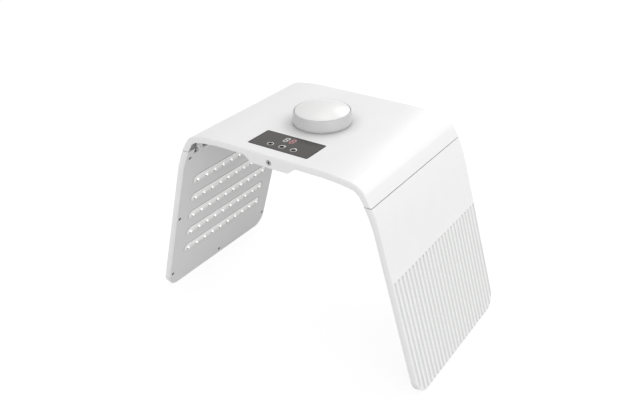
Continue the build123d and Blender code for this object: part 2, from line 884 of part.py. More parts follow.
def wing_panel(side, notch_drop):
    """Inner cover of a wing with its lamp windows and the notches round its hinges."""
    face = skin_plane(side, wing_thickness, leg_angle)
    notch_start = hinge_inset - pin_head - barrel_gap
    notch_end = hinge_end + pin_head + barrel_gap
    with BuildPart() as piece:
        extrude(wing_band(wing_split, wing_thickness, side, 0), amount=half_depth, both=True)
        extrude(planform(side, 0), amount=reach, both=True, mode=Mode.INTERSECT)
        chamfer(rim_edges(piece, wing_thickness), panel_bevel)
        add(wing_core(side, wing_split - overrun, lamp_inset), mode=Mode.SUBTRACT)
        with BuildSketch(face):
            with Locations([(0, row) for row in wing_row_places]):
                SlotOverall(slot_length, 2 * slot_margin)
        extrude(amount=wing_thickness - wing_split, both=True, mode=Mode.SUBTRACT)
        fillet(window_edges(piece.edges(Select.LAST), wing_thickness), window_round)
        with Locations(wing_screw_spots(side)):
            CounterSinkHole(
                screw_radius + pilot_gap,
                screw_head_radius + pilot_gap,
                wing_thickness - wing_split,
                countersink_angle,
            )
        for start in (notch_start, depth - notch_end):
            with BuildSketch(slice_plane(start)):
                with Locations((0, -notch_drop / 2)):
                    Rectangle(2 * reach, notch_drop)
            extrude(amount=notch_start - notch_end, mode=Mode.SUBTRACT)
        split(bisect_by=Plane.XY, keep=Keep.TOP)
    return piece


def wing_board(side):
    """Lamp board behind a wing's inner cover."""
    with BuildPart() as piece:
        with BuildSketch(skin_plane(side, lamp_inset, leg_angle)):
            with Locations((0, (wing_row_places[0] + wing_row_places[-1]) / 2)):
                Rectangle(
                    row_length + 2 * board_margin, wing_row_places[-1] - wing_row_places[0] + 2 * board_margin
                )
        extrude(amount=-board_thickness)
    return piece


for name, side in sides.items():
    finish(hinge_brackets(side, pivots[name]), name + "_hinge_brackets")
    finish(hinge_leaves(side, pivots[name], anchor_runs[name]), name + "_hinge_leaves")
    finish(hinge_pins(side, pivots[name]), name + "_hinge_pins")
    finish(hinge_washers(side, pivots[name]), name + "_hinge_washers")
    finish(wing_shell(side), name + "_wing_shell")
    finish(wing_panel(side, pivot_drops[name] + notch_falls[name]), name + "_wing_panel")
    finish(wing_board(side), name + "_wing_board")
    finish(copies(lamp, wing_lamp_spots(side)), name + "_wing_lamps")
    finish(copies(cover_screw, wing_screw_spots(side)), name + "_wing_screws")

print("arch height", arch_height, "half width at the foot's inner corner", section(wing_thickness)[-1][0])
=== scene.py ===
"""Looks of a folding light arch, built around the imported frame.

Lengths are in millimetres unless a comment says otherwise.
"""

import json
import math
import random

import bmesh
import bpy
from mathutils import Matrix, Vector

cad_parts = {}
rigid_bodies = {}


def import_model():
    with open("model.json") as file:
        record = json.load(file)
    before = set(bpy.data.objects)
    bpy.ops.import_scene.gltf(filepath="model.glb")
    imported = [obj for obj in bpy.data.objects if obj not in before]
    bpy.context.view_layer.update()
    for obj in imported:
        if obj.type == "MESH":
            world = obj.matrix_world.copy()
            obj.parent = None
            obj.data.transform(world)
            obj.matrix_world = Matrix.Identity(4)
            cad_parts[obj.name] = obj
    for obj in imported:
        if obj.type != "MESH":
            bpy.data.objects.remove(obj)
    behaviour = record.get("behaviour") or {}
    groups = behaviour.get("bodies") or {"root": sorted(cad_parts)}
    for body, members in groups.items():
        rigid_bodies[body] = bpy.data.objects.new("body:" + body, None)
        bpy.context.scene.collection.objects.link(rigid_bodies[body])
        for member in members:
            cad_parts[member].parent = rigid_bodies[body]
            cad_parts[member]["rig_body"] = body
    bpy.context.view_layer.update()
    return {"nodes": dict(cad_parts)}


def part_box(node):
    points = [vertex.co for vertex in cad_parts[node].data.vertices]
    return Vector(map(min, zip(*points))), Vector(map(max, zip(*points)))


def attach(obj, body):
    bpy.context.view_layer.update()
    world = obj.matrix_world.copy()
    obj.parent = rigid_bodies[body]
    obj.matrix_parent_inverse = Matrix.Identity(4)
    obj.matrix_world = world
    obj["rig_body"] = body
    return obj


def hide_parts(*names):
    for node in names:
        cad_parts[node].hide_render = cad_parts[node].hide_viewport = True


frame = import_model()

nodes = frame["nodes"]
MM = 0.001
QUARTER_TURN = math.pi / 2
DOWN = Vector((0, 0, -1))
FRONT = Vector((0, -1, 0))

# Camera, turned about its own line of sight by the roll; angles in degrees, place in metres
CAMERA_AZIMUTH = 34.758
CAMERA_ELEVATION = 29.635
CAMERA_ROLL = -1.307
CAMERA_PLACE = (0.57707, -0.83982, 0.76315)
CAMERA_LENS = 41.842


def direction(azimuth, elevation):
    """Unit vector from the object outwards; azimuth 0 is in front of it and 90 on its right."""
    azimuth, elevation = math.radians(azimuth), math.radians(elevation)
    flat = math.cos(elevation)
    return Vector((math.sin(azimuth) * flat, -math.cos(azimuth) * flat, math.sin(elevation)))


def aim_camera():
    back = direction(CAMERA_AZIMUTH, CAMERA_ELEVATION)
    right = Vector((0, 0, 1)).cross(back).normalized()
    turn = Matrix.Rotation(math.radians(CAMERA_ROLL), 3, back)
    data = bpy.data.cameras.new("camera")
    data.lens = CAMERA_LENS
    camera = bpy.data.objects.new("camera", data)
    bpy.context.scene.collection.objects.link(camera)
    facing = Matrix((turn @ right, turn @ back.cross(right), back)).transposed().to_4x4()
    camera.matrix_world = Matrix.Translation(CAMERA_PLACE) @ facing
    bpy.context.scene.camera = camera


aim_camera()

# Nodes of the materials; nearly all values of a noise lie between its start and its stop

NOISE_START = 0.3
NOISE_STOP = 0.7
CLOUD_SIZE = 30.0
PATCH_SIZE = 12.0
PATCH_DETAIL = 4.0
MOULD_WEAR = 0.012
UNEVEN_SIZE = 1.5
UNEVEN_SHIFT = 0.05
LOW_SIDE = "low_side"


def noise(tree, size, detail=2.0, stretch=(1, 1, 1)):
    """Noise on the object's own coordinates, with patches of about that size."""
    place = tree.nodes.new("ShaderNodeTexCoord")
    mapping = tree.nodes.new("ShaderNodeMapping")
    mapping.inputs["Scale"].default_value = stretch
    pattern = tree.nodes.new("ShaderNodeTexNoise")
    pattern.inputs["Scale"].default_value = 1 / (size * MM)
    pattern.inputs["Detail"].default_value = detail
    tree.links.new(place.outputs["Object"], mapping.inputs["Vector"])
    tree.links.new(mapping.outputs["Vector"], pattern.inputs["Vector"])
    return pattern.outputs["Fac"]


def own_axes(tree):
    """The object's own x, y and z."""
    split = tree.nodes.new("ShaderNodeSeparateXYZ")
    place = tree.nodes.new("ShaderNodeTexCoord")
    tree.links.new(place.outputs["Object"], split.inputs[0])
    return split.outputs


def spread(tree, value, low, high, start=NOISE_START, stop=NOISE_STOP):
    """The value from start to stop, mapped to the range from low to high."""
    node = tree.nodes.new("ShaderNodeMapRange")
    for name, number in (("From Min", start), ("From Max", stop), ("To Min", low), ("To Max", high)):
        node.inputs[name].default_value = number
    tree.links.new(value, node.inputs["Value"])
    return node.outputs["Result"]


def vary(tree, value, middle, change, **limits):
    """The value mapped to the range that reaches as far as the change below and above the middle."""
    return spread(tree, value, middle - change, middle + change, **limits)


def ramp(tree, value, stops):
    """Colour of a value, from (place, colour) stops."""
    node = tree.nodes.new("ShaderNodeValToRGB")
    elements = node.color_ramp.elements
    while len(elements) < len(stops):
        elements.new(0.5)
    for element, (place, color) in zip(elements, stops):
        element.position = place
        element.color = (*color, 1)
    tree.links.new(value, node.inputs["Fac"])
    return node.outputs["Color"]


def sums(tree, operation, first, second):
    """Result of a Math node on two sockets or numbers."""
    node = tree.nodes.new("ShaderNodeMath")
    node.operation = operation
    for socket, value in zip(node.inputs, (first, second)):
        if isinstance(value, (int, float)):
            socket.default_value = value
        else:
            tree.links.new(value, socket)
    return node.outputs[0]


def shades(color, change):
    """The colour a little darker and a little lighter."""
    return [tuple(min(part * (1 + sign * change), 1) for part in color) for sign in (-1, 1)]


def new_material(name, color, roughness, **sockets):
    """Material with one shader; the other arguments are its sockets, with _ for a space."""
    material = bpy.data.materials.new(name)
    material.use_nodes = True
    shader = material.node_tree.nodes["Principled BSDF"]
    shader.inputs["Base Color"].default_value = (*color, 1)
    shader.inputs["Roughness"].default_value = roughness
    for socket, value in sockets.items():
        shader.inputs[socket.replace("_", " ")].default_value = value
    return material


def shader_of(material):
    return material.node_tree.nodes["Principled BSDF"]


def feed(material, socket, value):
    """Links a value to a socket of a material's shader."""
    material.node_tree.links.new(value, shader_of(material).inputs[socket])


def add_relief(material, size, depth, **pattern):
    """Fine bumps of that size and depth all over a material."""
    tree = material.node_tree
    bump = tree.nodes.new("ShaderNodeBump")
    bump.inputs["Distance"].default_value = depth * MM
    tree.links.new(noise(tree, size, **pattern), bump.inputs["Height"])
    feed(material, "Normal", bump.outputs["Normal"])


def add_glow(material, color, strength):
    """Lets a material shine faintly in that colour."""
    feed(material, "Emission Color", color)
    shader_of(material).inputs["Emission Strength"].default_value = strength


def moulded(name, color, roughness, grain=0.5, depth=0.002, change=0.006, **sockets):
    """Moulded plastic: fine grain, faint colour clouds and patches of wear in the finish."""
    material = new_material(name, color, roughness, **sockets)
    tree = material.node_tree
    dark, light = shades(color, change)
    cloud = spread(tree, noise(tree, CLOUD_SIZE), 0, 1)
    feed(material, "Base Color", ramp(tree, cloud, [(0, dark), (1, light)]))
    patch = noise(tree, PATCH_SIZE, PATCH_DETAIL)
    feed(material, "Roughness", vary(tree, patch, roughness, MOULD_WEAR))
    add_relief(material, grain, depth)
    return material


SHADE_SAMPLES = 6
SHADE_START = 0.5
SHADE_STOP = 0.97


def add_painted_shade(material, reach, dark):
    """Painted shade: soft darkening of hollows and of places near another piece, within that reach."""
    tree = material.node_tree
    color = shader_of(material).inputs["Base Color"]
    around = tree.nodes.new("ShaderNodeAmbientOcclusion")
    around.samples = SHADE_SAMPLES
    around.inputs["Distance"].default_value = reach * MM
    mix = tree.nodes.new("ShaderNodeMix")
    mix.data_type = "RGBA"
    mix.blend_type = "MULTIPLY"
    mix.inputs["Factor"].default_value = 1
    tree.links.new(color.links[0].from_socket, mix.inputs["A"])
    stops = [(SHADE_START, (dark, dark, dark)), (SHADE_STOP, (1, 1, 1))]
    tree.links.new(ramp(tree, around.outputs["AO"], stops), mix.inputs["B"])
    tree.links.new(mix.outputs["Result"], color)


BRUSH_CHANGE = 0.12
BRUSH_WEAR = 0.08
BRUSH_DEPTH = 0.003
BRUSH_DETAIL = 3.0
BRUSH_STRETCH = (1, 0.06, 1)


def brushed(name, color, roughness, size=0.6):
    """Metal with fine lines along one axis and a finish that varies from line to line."""
    material = new_material(name, color, roughness, Metallic=1.0)
    tree = material.node_tree
    dark, light = shades(color, BRUSH_CHANGE)
    lines = spread(tree, noise(tree, size, BRUSH_DETAIL, BRUSH_STRETCH), 0, 1)
    feed(material, "Base Color", ramp(tree, lines, [(0, dark), (1, light)]))
    feed(material, "Roughness", vary(tree, lines, roughness, BRUSH_WEAR, start=0, stop=1))
    add_relief(material, size, BRUSH_DEPTH, detail=BRUSH_DETAIL, stretch=BRUSH_STRETCH)
    return material


GLASS_MIDDLE = (0.053, 0.0475, 0.043)
GLASS_EDGE = (0.021, 0.021, 0.0215)
GLASS_BORDER = 2.6
GLASS_FADE = 0.6
GLASS_ROUGHNESS = 0.15
GLASS_WEAR = 0.04
GLASS_SHIFT = 0.1
GLASS_WAVE = 0.01


def panel_glass():
    """Dark glass, printed black round its edge, with faint smears in its shine."""
    low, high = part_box("touch_glass")
    middle, half = (low + high) / 2, (high - low) / 2
    material = new_material("dark_glass", GLASS_MIDDLE, GLASS_ROUGHNESS)
    tree = material.node_tree
    axes = own_axes(tree)
    reaches = []
    for axis in (0, 1):
        offset = sums(tree, "ABSOLUTE", sums(tree, "SUBTRACT", axes[axis], middle[axis]), 0)
        reaches.append(sums(tree, "SUBTRACT", offset, half[axis] - GLASS_BORDER * MM))
    share = spread(tree, sums(tree, "MAXIMUM", *reaches), 0, 1, start=0, stop=GLASS_FADE * MM)
    cloud = vary(tree, noise(tree, CLOUD_SIZE), 0, GLASS_SHIFT)
    stops = [(GLASS_SHIFT, GLASS_MIDDLE), (1 - GLASS_SHIFT, GLASS_EDGE)]
    feed(material, "Base Color", ramp(tree, sums(tree, "ADD", share, cloud), stops))
    smear = noise(tree, PATCH_SIZE, PATCH_DETAIL)
    feed(material, "Roughness", vary(tree, smear, GLASS_ROUGHNESS, GLASS_WEAR))
    add_relief(material, CLOUD_SIZE, GLASS_WAVE)
    return material


LENS_WHITE = (0.94, 0.94, 0.93)
LENS_SHADE = (0.12, 0.12, 0.12)
LENS_EDGE = (0.45, 0.45, 0.45)
LENS_GLOW = 0.4
STRIP_HIGH = (0.96, 0.96, 0.955)
STRIP_LOW = (0.78, 0.78, 0.775)
STRIP_PAINTED_GLOW = 0.09
RIM_SHADE = (0.36, 0.36, 0.36)
RIM_LIGHT = (0.8, 0.8, 0.795)
UNLIT = (0, 0, 0)


def side_light_and_shade(tree, stops):
    """Painted light and shade: colour from a piece's high side, at 0, to its low side, at 1, a little
    uneven.
    """
    side = tree.nodes.new("ShaderNodeAttribute")
    side.attribute_name = LOW_SIDE
    share = spread(tree, side.outputs["Fac"], 0, 1, start=-1, stop=1)
    uneven = vary(tree, noise(tree, UNEVEN_SIZE), 0, UNEVEN_SHIFT)
    return ramp(tree, sums(tree, "ADD", share, uneven), stops)


def lens_plastic():
    """Milky lamp body, faintly lit, with painted shade on its low side; its glow takes the same colours, so
    the high side shines brightest.
    """
    material = new_material("lamp_lens", LENS_WHITE, roughness=0.1, Coat_Weight=0.6, Coat_Roughness=0.04)
    # Painted shade: the low side of each dome is dark, its lowest edge a little lighter.
    stops = [(0.66, LENS_WHITE), (0.76, LENS_SHADE), (0.93, LENS_SHADE), (1.0, LENS_EDGE)]
    color = side_light_and_shade(material.node_tree, stops)
    feed(material, "Base Color", color)
    add_glow(material, color, LENS_GLOW)
    add_relief(material, size=1.0, depth=0.004)
    return material


def painted_light_strip():
    """White strip under the lamps, with painted light: lighter and faintly glowing on its high side, darker
    on its low side.
    """
    material = new_material("strip_white_painted_light", STRIP_HIGH, roughness=0.3)
    tree = material.node_tree
    # Painted light and shade: lighter and glowing on the high side, darker on the low side; the strip is no
    # lamp.
    feed(material, "Base Color", side_light_and_shade(tree, [(0.45, STRIP_HIGH), (0.8, STRIP_LOW)]))
    add_glow(material, side_light_and_shade(tree, [(0.35, STRIP_HIGH), (0.75, UNLIT)]), STRIP_PAINTED_GLOW)
    add_relief(material, size=0.6, depth=0.002)
    return material


def rim_painted_shade():
    """Rim of a slot: a thin sheet with painted shade on its high side and at its ends."""
    material = new_material("slot_rim", RIM_SHADE, roughness=0.5)
    # Painted shade: dark on the slot's high side, lighter on its low side.
    stops = [(0.45, RIM_SHADE), (0.75, RIM_LIGHT)]
    feed(material, "Base Color", side_light_and_shade(material.node_tree, stops))
    add_relief(material, size=0.4, depth=0.003)
    return material


PRINT_GRAIN = 1.0
PRINT_SHIFT = 0.05


def sign_print(name, low_color, high_color, y, height, glow=0.0):
    """Print that is brightest at the back of each sign."""
    material = new_material(name, high_color, roughness=0.35)
    tree = material.node_tree
    start, stop = (y - height / 2) * MM, (y + height / 2) * MM
    rise = spread(tree, own_axes(tree)["Y"], 0, 1, start, stop)
    grain = vary(tree, noise(tree, PRINT_GRAIN), 0, PRINT_SHIFT)
    color = ramp(tree, sums(tree, "ADD", rise, grain), [(0, low_color), (1, high_color)])
    feed(material, "Base Color", color)
    if glow:
        add_glow(material, color, glow)
    return material


# Materials

# Painted shade on both glosses: darker hollows, grooves and places next to other pieces, such as round the
# cap.
COVER_GLOSS = moulded("white_gloss", (0.84, 0.84, 0.84), roughness=0.3)
add_painted_shade(COVER_GLOSS, reach=22.0, dark=0.72)
SHELL_GLOSS = moulded("shell_gloss", (0.85, 0.85, 0.85), roughness=0.3)
add_painted_shade(SHELL_GLOSS, reach=5.0, dark=0.62)
COVER_SATIN = moulded("white_satin", (0.83, 0.83, 0.83), roughness=0.42, grain=0.7, depth=0.004)
PANEL = moulded("panel_satin", (0.82, 0.82, 0.82), roughness=0.45, grain=0.7, depth=0.004)
CAP_WALL_LOOK = moulded("cap_wall_satin", (0.54, 0.54, 0.54), roughness=0.42, grain=0.7, depth=0.004)
CAP_DOME_LOOK = moulded("cap_dome_gloss", (0.8, 0.8, 0.795), roughness=0.26, grain=0.8, depth=0.001)
BOARD = moulded("board_white", (0.94, 0.94, 0.93), roughness=0.18, grain=0.4, depth=0.003)
BLACK = moulded("black_plastic", (0.02, 0.02, 0.02), roughness=0.4)
DISPLAY = moulded("display_black", (0.012, 0.012, 0.012), roughness=0.12, depth=0.001)
GREEN = moulded("board_green", (0.03, 0.16, 0.06), roughness=0.35, grain=0.8, depth=0.01, change=0.08)
SEAL = moulded("soft_seal", (0.55, 0.55, 0.54), roughness=0.6, grain=0.4, depth=0.01)
TANK = moulded("clear_tank", (0.8, 0.83, 0.86), roughness=0.12, grain=0.8, depth=0.003)
RING = moulded("inlet_ring", (0.4, 0.4, 0.4), roughness=0.3)
STEEL = brushed("steel", (0.56, 0.56, 0.57), roughness=0.42)
SCREW = brushed("dark_screw", (0.1, 0.1, 0.1), roughness=0.38, size=0.4)
BRASS = brushed("piezo", (0.62, 0.48, 0.24), roughness=0.3)
GLASS = panel_glass()
LENS = lens_plastic()
STRIP_PAINTED_LIGHT = painted_light_strip()
RIM = rim_painted_shade()
INK = moulded("key_ink", (0.008, 0.008, 0.008), roughness=0.6, Specular_IOR_Level=0.1)

slot_looks = {
    "white_gloss": COVER_GLOSS,
    "white_satin": COVER_SATIN,
    "dark_glass": GLASS,
    "display_black": DISPLAY,
    "board_white": BOARD,
    "board_green": GREEN,
    "black_plastic": BLACK,
    "lamp_lens": LENS,
    "steel": STEEL,
    "dark_screw": SCREW,
    "clear_tank": TANK,
    "soft_seal": SEAL,
    "piezo": BRASS,
}
node_looks = {
    "left_wing_panel": PANEL,
    "right_wing_panel": PANEL,
    "left_wing_shell": SHELL_GLOSS,
    "right_wing_shell": SHELL_GLOSS,
}
for name, node in nodes.items():
    slot = node.data.materials[0].name.split(".")[0]
    node.data.materials[0] = node_looks.get(name, slot_looks[slot])

# Shapes

CORNER_STEPS = 4
CREASE = 35
MERGE_DISTANCE = 0.001
NORMAL_DIGITS = 2
FLAT_SHARE = 0.9995
LEAST_SLOPE = 0.1


def rounded(corners, steps=CORNER_STEPS):
    """Outline through (x, y, run) corners.

    A corner with a run is a curve that starts and stops that far from it.
    """
    outline = []
    for index, (x, y, run) in enumerate(corners):
        corner = Vector((x, y))
        if not run:
            outline.append(corner)
            continue
        start, stop = (
            corner + (Vector(corners[other % len(corners)][:2]) - corner).normalized() * run
            for other in (index - 1, index + 1)
        )
        for step in range(steps + 1):
            t = step / steps
            outline.append(start * (1 - t) ** 2 + corner * 2 * t * (1 - t) + stop * t**2)
    return outline


def lathe(mesh, profile, steps, place, closed=False, first=0.0):
    """Turns a (radius, height) profile about the z axis of a place and returns its rings of vertices."""
    rings = []
    for radius, height in profile:
        count = steps if radius else 1
        angles = [2 * math.pi * (step + first) / count for step in range(count)]
        spots = [(radius * math.cos(angle), radius * math.sin(angle), height) for angle in angles]
        rings.append([mesh.verts.new(place @ Vector(spot)) for spot in spots])
    pairs = list(zip(rings, rings[1:]))
    if closed:
        pairs.append((rings[-1], rings[0]))
    for low, high in pairs:
        for step in range(steps):
            corners = [low[step % len(low)], low[(step + 1) % len(low)]]
            corners += [high[(step + 1) % len(high)], high[step % len(high)]]
            mesh.faces.new(list(dict.fromkeys(corners)))
    return rings


def outline_ring(mesh, outline, height, place):
    """Vertices of an outline at that height of a place."""
    return [mesh.verts.new(place @ Vector((x, y, height))) for x, y in outline]


def wall(mesh, low, high):
    """Faces between two rings of equally many vertices."""
    for index in range(len(low)):
        after = (index + 1) % len(low)
        mesh.faces.new((low[index], low[after], high[after], high[index]))


def plate(mesh, outline, low, high, place):
    """Flat piece of an outline between two heights."""
    under, over = (outline_ring(mesh, outline, height, place) for height in (low, high))
    wall(mesh, under, over)
    mesh.faces.new(under[::-1])
    mesh.faces.new(over)


def piece(mesh, name, body, slot, look, *replaced, crease=CREASE):
    """Object of a mesh in millimetres that rides on a body."""
    bmesh.ops.recalc_face_normals(mesh, faces=mesh.faces)
    data = bpy.data.meshes.new(name)
    mesh.to_mesh(data)
    mesh.free()
    data.transform(Matrix.Scale(MM, 4))
    data.shade_smooth()
    data.set_sharp_from_angle(angle=math.radians(crease))
    data.materials.append(look)
    ob = bpy.data.objects.new(name, data)
    bpy.context.scene.collection.objects.link(ob)
    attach(ob, body)
    if replaced:
        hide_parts(*replaced)


def solids(mesh):
    """Lists of the faces of each separate solid in a mesh."""
    seen = set()
    groups = []
    for first in mesh.faces:
        if first in seen:
            continue
        seen.add(first)
        group, ahead = [], [first]
        while ahead:
            face = ahead.pop()
            group.append(face)
            for other in (near for edge in face.edges for near in edge.link_faces):
                if other not in seen:
                    seen.add(other)
                    ahead.append(other)
        groups.append(group)
    return groups


def widest_flat(faces):
    """Middle and outward normal of the largest flat end of a solid."""
    areas = {}
    for face in faces:
        key = tuple(round(part, NORMAL_DIGITS) for part in face.normal)
        areas[key] = areas.get(key, 0) + face.calc_area()
    normal = Vector(max(areas, key=areas.get)).normalized()
    flat = [face for face in faces if face.normal.dot(normal) > FLAT_SHARE]
    total = sum(face.calc_area() for face in flat)
    middle = sum((face.calc_center_median() * face.calc_area() for face in flat), Vector()) / total
    return middle, sum((face.normal * face.calc_area() for face in flat), Vector()).normalized()


def seats(node):
    """Places of a node's turned solids: origin on the wide flat end, z into the solid, x downwards."""
    mesh = bmesh.new()
    mesh.from_mesh(nodes[node].data)
    bmesh.ops.remove_doubles(mesh, verts=mesh.verts, dist=MERGE_DISTANCE * MM)
    mesh.normal_update()
    places = []
    for faces in solids(mesh):
        middle, normal = widest_flat(faces)
        z = -normal
        x = DOWN - z * DOWN.dot(z)
        if x.length < LEAST_SLOPE:
            x = FRONT - z * FRONT.dot(z)
        x.normalize()
        turn = Matrix((x, z.cross(x), z)).transposed().to_4x4()
        places.append(Matrix.Translation(middle / MM) @ turn)
    mesh.free()
    return places


# Lamps: a flange, a straight body and a dome, each with its low side marked for the painted shade of the
# lens

LAMP_RADIUS = 2.8
LAMP_FLANGE_RADIUS = 3.1
LAMP_FLANGE = 0.8
LAMP_HEIGHT = 5.7
LAMP_STEPS = 20
LAMP_DOME_STEPS = 6


def lamp_profile():
    """Half section of a lamp, from its seat to the top of its dome."""
    shoulder = LAMP_HEIGHT - LAMP_RADIUS
    edge = (LAMP_RADIUS, LAMP_FLANGE)
    profile = [(0, 0), (LAMP_FLANGE_RADIUS, 0), (LAMP_FLANGE_RADIUS, LAMP_FLANGE), edge]
    for step in range(LAMP_DOME_STEPS):
        angle = QUARTER_TURN * step / LAMP_DOME_STEPS
        profile.append((LAMP_RADIUS * math.cos(angle), shoulder + LAMP_RADIUS * math.sin(angle)))
    return profile + [(0, LAMP_HEIGHT)]


def add_lamps(node):
    mesh = bmesh.new()
    low_side = mesh.verts.layers.float.new(LOW_SIDE)
    for place in seats(node):
        low = (place.col[0].xyz + FRONT).normalized()
        for ring in lathe(mesh, lamp_profile(), LAMP_STEPS, place):
            for vert in ring:
                vert[low_side] = (vert.co - place.translation).dot(low) / LAMP_RADIUS
    piece(mesh, node + "_domes", nodes[node]["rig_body"], "lamp_lens", LENS, node)


for side in ("left", "right"):
    add_lamps(side + "_wing_lamps")
    add_lamps(side + "_head_lamps")

# Slots of the lamps: a soft white strip under the domes, with painted light on its high side, and a thin rim
# round each slot, with painted shade

PANEL_SKIN = 2.4
SLOT_HALF_WIDTH = 9.6
RIM_REACH = 10.9
RIM_LOW = -0.1
RIM_HIGH = 0.12
# Half widths and heights above the cover's face
STRIP_SECTION = ((10.2, -0.3), (9.0, 0.35), (7.5, 0.6), (5.0, 0.7), (2.0, 0.75))
RIM_SECTION = (
    (SLOT_HALF_WIDTH, RIM_LOW),
    (RIM_REACH, RIM_LOW),
    (RIM_REACH, RIM_HIGH),
    (SLOT_HALF_WIDTH, RIM_HIGH),
    (SLOT_HALF_WIDTH, RIM_LOW),
)
STRIP_CREASE = 60
SLOT_STEPS = 12


def stadium(half_run, reach):
    """Outline of a slot along y, from its half length between the round ends and its half width."""
    outline = []
    for end, start in ((1, 0), (-1, math.pi)):
        for step in range(SLOT_STEPS + 1):
            angle = start + math.pi * step / SLOT_STEPS
            outline.append((reach * math.cos(angle), end * half_run + reach * math.sin(angle)))
    return outline


def rows(places):
    """Places of the lamps, sorted into their rows along y."""
    found = {}
    for place in places:
        found.setdefault((round(place.translation.x), round(place.translation.z)), []).append(place)
    return list(found.values())


def row_face(row):
    """Place of a row's middle on the cover's face, half the row's length and its low direction.

    The place's y runs along the row.
    """
    ends = [place.translation.y for place in row]
    seat = row[0]
    along, out = Vector((0, 1, 0)), seat.col[2].xyz
    low = seat.col[0].xyz
    low -= along * low.dot(along)
    face = Matrix((along.cross(out), along, out)).transposed().to_4x4()
    middle = Vector((seat.translation.x, (max(ends) + min(ends)) / 2, seat.translation.z))
    face.translation = middle + out * PANEL_SKIN
    return face, (max(ends) - min(ends)) / 2, low


def add_ring_set(mesh, layer, section, face, half_run, low):
    """Rings of a slot's section, each point marked with its share towards the low side."""
    rings = [outline_ring(mesh, stadium(half_run, reach), height, face) for reach, height in section]
    for under, over in zip(rings, rings[1:]):
        wall(mesh, under, over)
    for vert in (vert for ring in rings for vert in ring):
        vert[layer] = (vert.co - face.translation).dot(low) / SLOT_HALF_WIDTH
    return rings


def add_slots(part):
    strips, rims = bmesh.new(), bmesh.new()
    strip_layer, rim_layer = (mesh.verts.layers.float.new(LOW_SIDE) for mesh in (strips, rims))
    for row in rows(seats(part + "_lamps")):
        face = row_face(row)
        rings = add_ring_set(strips, strip_layer, STRIP_SECTION, *face)
        strips.faces.new(rings[-1])
        strips.faces.new(rings[0][::-1])
        rings = add_ring_set(rims, rim_layer, RIM_SECTION, *face)
        bmesh.ops.remove_doubles(rims, verts=rings[0] + rings[-1], dist=MERGE_DISTANCE)
    body = nodes[part + "_lamps"]["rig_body"]
    piece(strips, part + "_strips", body, "board_white", STRIP_PAINTED_LIGHT, crease=STRIP_CREASE)
    piece(rims, part + "_slot_shade_rims", body, "white_satin", RIM)


for part in ("left_wing", "right_wing", "left_head", "right_head"):
    add_slots(part)

# Screws with a cross recess in a countersunk head

SCREW_HEAD_RADIUS = 2.8
SCREW_RADIUS = 1.5
SCREW_LENGTH = 7.2
SCREW_STEPS = 24
CROSS_HALF_WIDTH = 0.35
CROSS_REACH = 1.7
CROSS_DEPTH = 1.3
CROSS_TAPER = 0.6
CROSS_ARMS = 4
CROSS_ARM = (
    (CROSS_REACH, -CROSS_HALF_WIDTH),
    (CROSS_REACH, CROSS_HALF_WIDTH),
    (CROSS_HALF_WIDTH, CROSS_HALF_WIDTH),
)
SCREW_SEED = 5


def add_screw(mesh, place):
    """Screw whose face lies between the head's rim and the mouth of the cross."""
    cone = SCREW_HEAD_RADIUS - SCREW_RADIUS
    profile = [(SCREW_HEAD_RADIUS, 0), (SCREW_RADIUS, cone), (SCREW_RADIUS, SCREW_LENGTH), (0, SCREW_LENGTH)]
    rim = lathe(mesh, profile, SCREW_STEPS, place, first=0.5)[0]
    corners = []
    for turn in range(CROSS_ARMS):
        spin = Matrix.Rotation(QUARTER_TURN * turn, 4, "Z")
        corners += [spin @ Vector((x, y, 0)) for x, y in CROSS_ARM]
    mouth = [mesh.verts.new(place @ corner) for corner in corners]
    floor = [(corner.x * CROSS_TAPER, corner.y * CROSS_TAPER) for corner in corners]
    bed = outline_ring(mesh, floor, CROSS_DEPTH, place)
    mesh.faces.new(bed)
    wall(mesh, mouth, bed)
    count, quarter = len(CROSS_ARM), SCREW_STEPS // CROSS_ARMS
    for turn in range(CROSS_ARMS):
        start, after = turn * quarter, (turn + 1) * count
        tip, shoulder, inner = mouth[after - count : after]
        mesh.faces.new((rim[start - 1], rim[start], shoulder, tip))
        arc = rim[start : start + quarter]
        mesh.faces.new(arc + [mouth[after % len(mouth)], inner, shoulder])


turns = random.Random(SCREW_SEED)


def add_screws(node):
    mesh = bmesh.new()
    for place in seats(node):
        add_screw(mesh, place @ Matrix.Rotation(turns.uniform(0, QUARTER_TURN), 4, "Z"))
    piece(mesh, node + "_crossed", nodes[node]["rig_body"], "dark_screw", SCREW, node)


for node in ("head_screws", "left_wing_screws", "right_wing_screws"):
    add_screws(node)

# Cap: rounded wall and domed top; heights are above the head's top

CAP_BACK = 3.0
CAP_STEPS = 128
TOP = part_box("head_top_cover")[1].z / MM
CAP_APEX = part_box("cap_dome")[1].z / MM - TOP
CAP_BASE_RADIUS = 45.0
CAP_RIM_RADIUS = 43.2
CAP_WALL_THICKNESS = 2.2
CAP_LIFT = 0.3
WALL_TOP = 19.6
WALL_RIM_THICKNESS = 1.5
WALL_FOOT_ROUND = 5.0
WALL_RIM_ROUND = 0.7
WALL_INNER_ROUND = 0.4
WALL_ROUND_STEPS = 6
SMALL_ROUND = 0.3
DOME_START = 18.6
DOME_RADIUS = 41.3
DOME_EDGE_ROUND = 1.3
DOME_UNDERSIDE = 1.6
DOME_ARC_STEPS = 10
DOME_CREASE = 50
AXIS_REACH = 1e-6
LIP_RADIUS = 40.4
LIP_THICKNESS = 1.6
LIP_DEPTH = 3.0
SKIRT_RADIUS = 34.6
SKIRT_THICKNESS = 2.0
SKIRT_END = 8.0
CAP_PLACE = Matrix.Translation((0, CAP_BACK, TOP))


